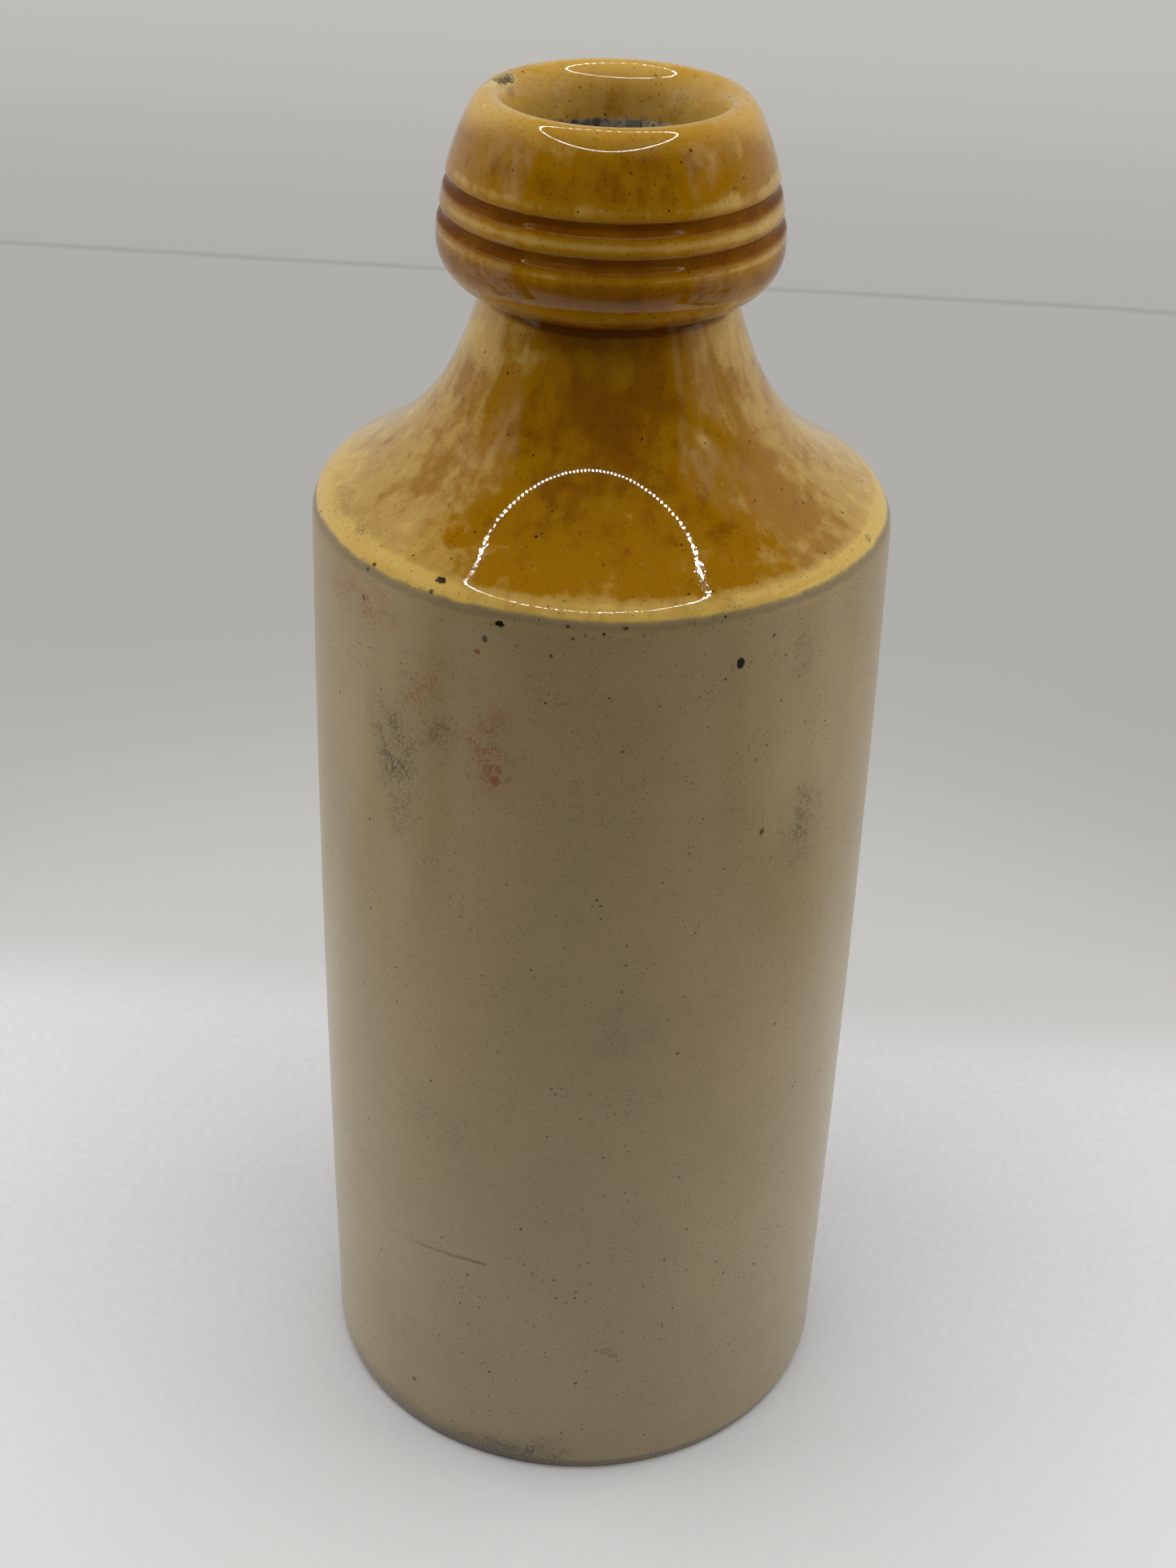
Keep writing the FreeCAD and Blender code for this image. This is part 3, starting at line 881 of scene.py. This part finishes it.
def area(name, place, target, size, energy):
    """Soft lamp that lights the glaze without showing in it."""
    lamp = bpy.data.lights.new(name, "AREA")
    lamp.shape = "RECTANGLE"
    lamp.size, lamp.size_y = size
    lamp.energy = energy
    obj = bpy.data.objects.new(name, lamp)
    obj.location = place
    obj.rotation_euler = (Vector(target) - Vector(place)).to_track_quat("-Z", "Y").to_euler()
    obj.visible_camera = False
    obj.visible_glossy = False
    bpy.context.scene.collection.objects.link(obj)


# Lit sides of the tent, which the glaze mirrors: name, x, y from and to, and bands of
# z from, z to, softness and strength
TENT_SIDES = (
    ("tent_left", -0.14, (-0.085, 0.070),
     ((-0.02, 0.163, 0.012, 0.7), (0.163, 0.188, 0.012, 0.2), (0.190, 0.270, 0.045, 0.8))),
    ("tent_right", 0.14, (-0.109, 0.070), ((0.02, 0.187, 0.012, 0.6), (0.204, 0.280, 0.045, 0.8))),
)


SHEET_BOTTOM, SHEET_TOP = -0.03, 0.33
SHEET_COLOUR = (1.0, 0.94, 0.76)


def sheet_material(name, front, back, bands):
    """Glow in soft-edged bands that fades to clear at the back."""
    material = bpy.data.materials.new(name)
    material.cycles.emission_sampling = "NONE"
    g = Graph(material)
    place = g.node("ShaderNodeTexCoord", output=3)
    _, y, z = g.split(place)
    folds = g.noise(place, 22.0, 2.0, 0.6)
    y_here = g.add(y, g.centred(folds, 0.035))
    z_here = g.add(z, g.centred(folds, 0.02))
    glow = 0.0
    for low, high, soft, strength in bands:
        fades = g.mul(g.ramp(z_here, low - 0.012, low + 0.012), g.ramp(z_here, high + soft, high - soft))
        glow = g.add(g.mul(fades, strength), glow)
    glow = g.mul(glow, g.ramp(y_here, front - 0.006, front + 0.020))
    glow = g.mul(glow, g.ramp(g.noise(place, 34.0, 2.0, 0.6), 0.32, 0.68, 0.25, 1.4))
    shine = g.node("ShaderNodeEmission", {"Color": SHEET_COLOUR, "Strength": glow})
    g.surface(g.mix_shader(g.ramp(y_here, back, back - 0.10), g.node("ShaderNodeBsdfTransparent"), shine))
    return material


def build_tent_sides():
    """Upright sheets that only reflections see."""
    for name, side, (front, back), bands in TENT_SIDES:
        edge = front - 0.02
        outline = ((edge, SHEET_BOTTOM), (back, SHEET_BOTTOM), (back, SHEET_TOP), (edge, SHEET_TOP))
        corners = [(side, y, z) for y, z in outline]
        sheet = new_object(name, corners, [(0, 1, 2, 3)], sheet_material(name, front, back, bands))
        mirror_only(sheet)


# Soft lamps: name, place, target, size, power
LAMPS = (
    ("top_soft", (-0.02, -0.16, 1.2), (0, -0.04, 0), (1.1, 1.1), 10.1),
    ("left_low", (-0.15, 0.01, 0.08), (0.2, 0.01, 0.08), (0.16, 0.16), 0.10),
    ("left_high", (-0.15, 0.00, 0.24), (0.2, 0.0, 0.20), (0.15, 0.09), 0.11),
    ("right_low", (0.15, 0.00, 0.09), (-0.2, 0.0, 0.09), (0.17, 0.18), 0.11),
    ("right_high", (0.15, -0.01, 0.25), (-0.2, 0.0, 0.21), (0.17, 0.09), 0.13),
    ("back_wall", (0, 0.20, 0.15), (0, 0, 0.12), (0.30, 0.26), 0.22),
)
WORLD_COLOUR, WORLD_STRENGTH = linear((200, 200, 198)), 0.08


def build_lights():
    build_ring_light()
    build_tent_sides()
    for lamp in LAMPS:
        area(*lamp)
    world = bpy.data.worlds.new("studio")
    bpy.context.scene.world = world
    world.use_nodes = True
    background = world.node_tree.nodes["Background"]
    background.inputs["Color"].default_value = WORLD_COLOUR
    background.inputs["Strength"].default_value = WORLD_STRENGTH


# Camera, fitted to the ellipses of the photograph: angles in degrees, lengths in metres, the
# focal length and the picture's height in the photograph's pixels
CAMERA_LEAN, CAMERA_ROLL, CAMERA_PAN = 31.45, 1.98, -0.10
CAMERA_DISTANCE, AIM_HEIGHT = 0.29648, 0.08633
FOCAL_PIXELS, PICTURE_HEIGHT, SENSOR = 2895, 1927, 36


def build_camera():
    """Camera at the photograph's place: up and in front, leaning slightly."""
    lean, roll, pan = (math.radians(angle) for angle in (CAMERA_LEAN, CAMERA_ROLL, CAMERA_PAN))
    forward = Vector((0, math.cos(lean), -math.sin(lean)))
    right = Vector((1, 0, 0))
    up = right.cross(forward)
    look = forward * math.cos(pan) + right * math.sin(pan)
    side = right * math.cos(pan) - forward * math.sin(pan)
    across = side * math.cos(roll) + up * math.sin(roll)
    upward = up * math.cos(roll) - side * math.sin(roll)
    place = Vector((0, 0, AIM_HEIGHT)) - forward * CAMERA_DISTANCE
    data = bpy.data.cameras.new("camera")
    data.sensor_width = SENSOR
    data.lens = SENSOR * FOCAL_PIXELS / PICTURE_HEIGHT
    data.clip_start = 0.01
    camera = bpy.data.objects.new("camera", data)
    axes = Matrix((across, upward, -look)).transposed()
    camera.matrix_world = Matrix.Translation(place) @ axes.to_4x4()
    bpy.context.scene.collection.objects.link(camera)
    bpy.context.scene.camera = camera


bottle, surface_radius = build_bottle()
bottle.data.materials.append(glaze_material(surface_radius))
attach(bottle, "root")
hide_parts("bottle")

build_sweep()
build_lights()
build_camera()
bpy.context.scene.view_settings.view_transform = "Standard"
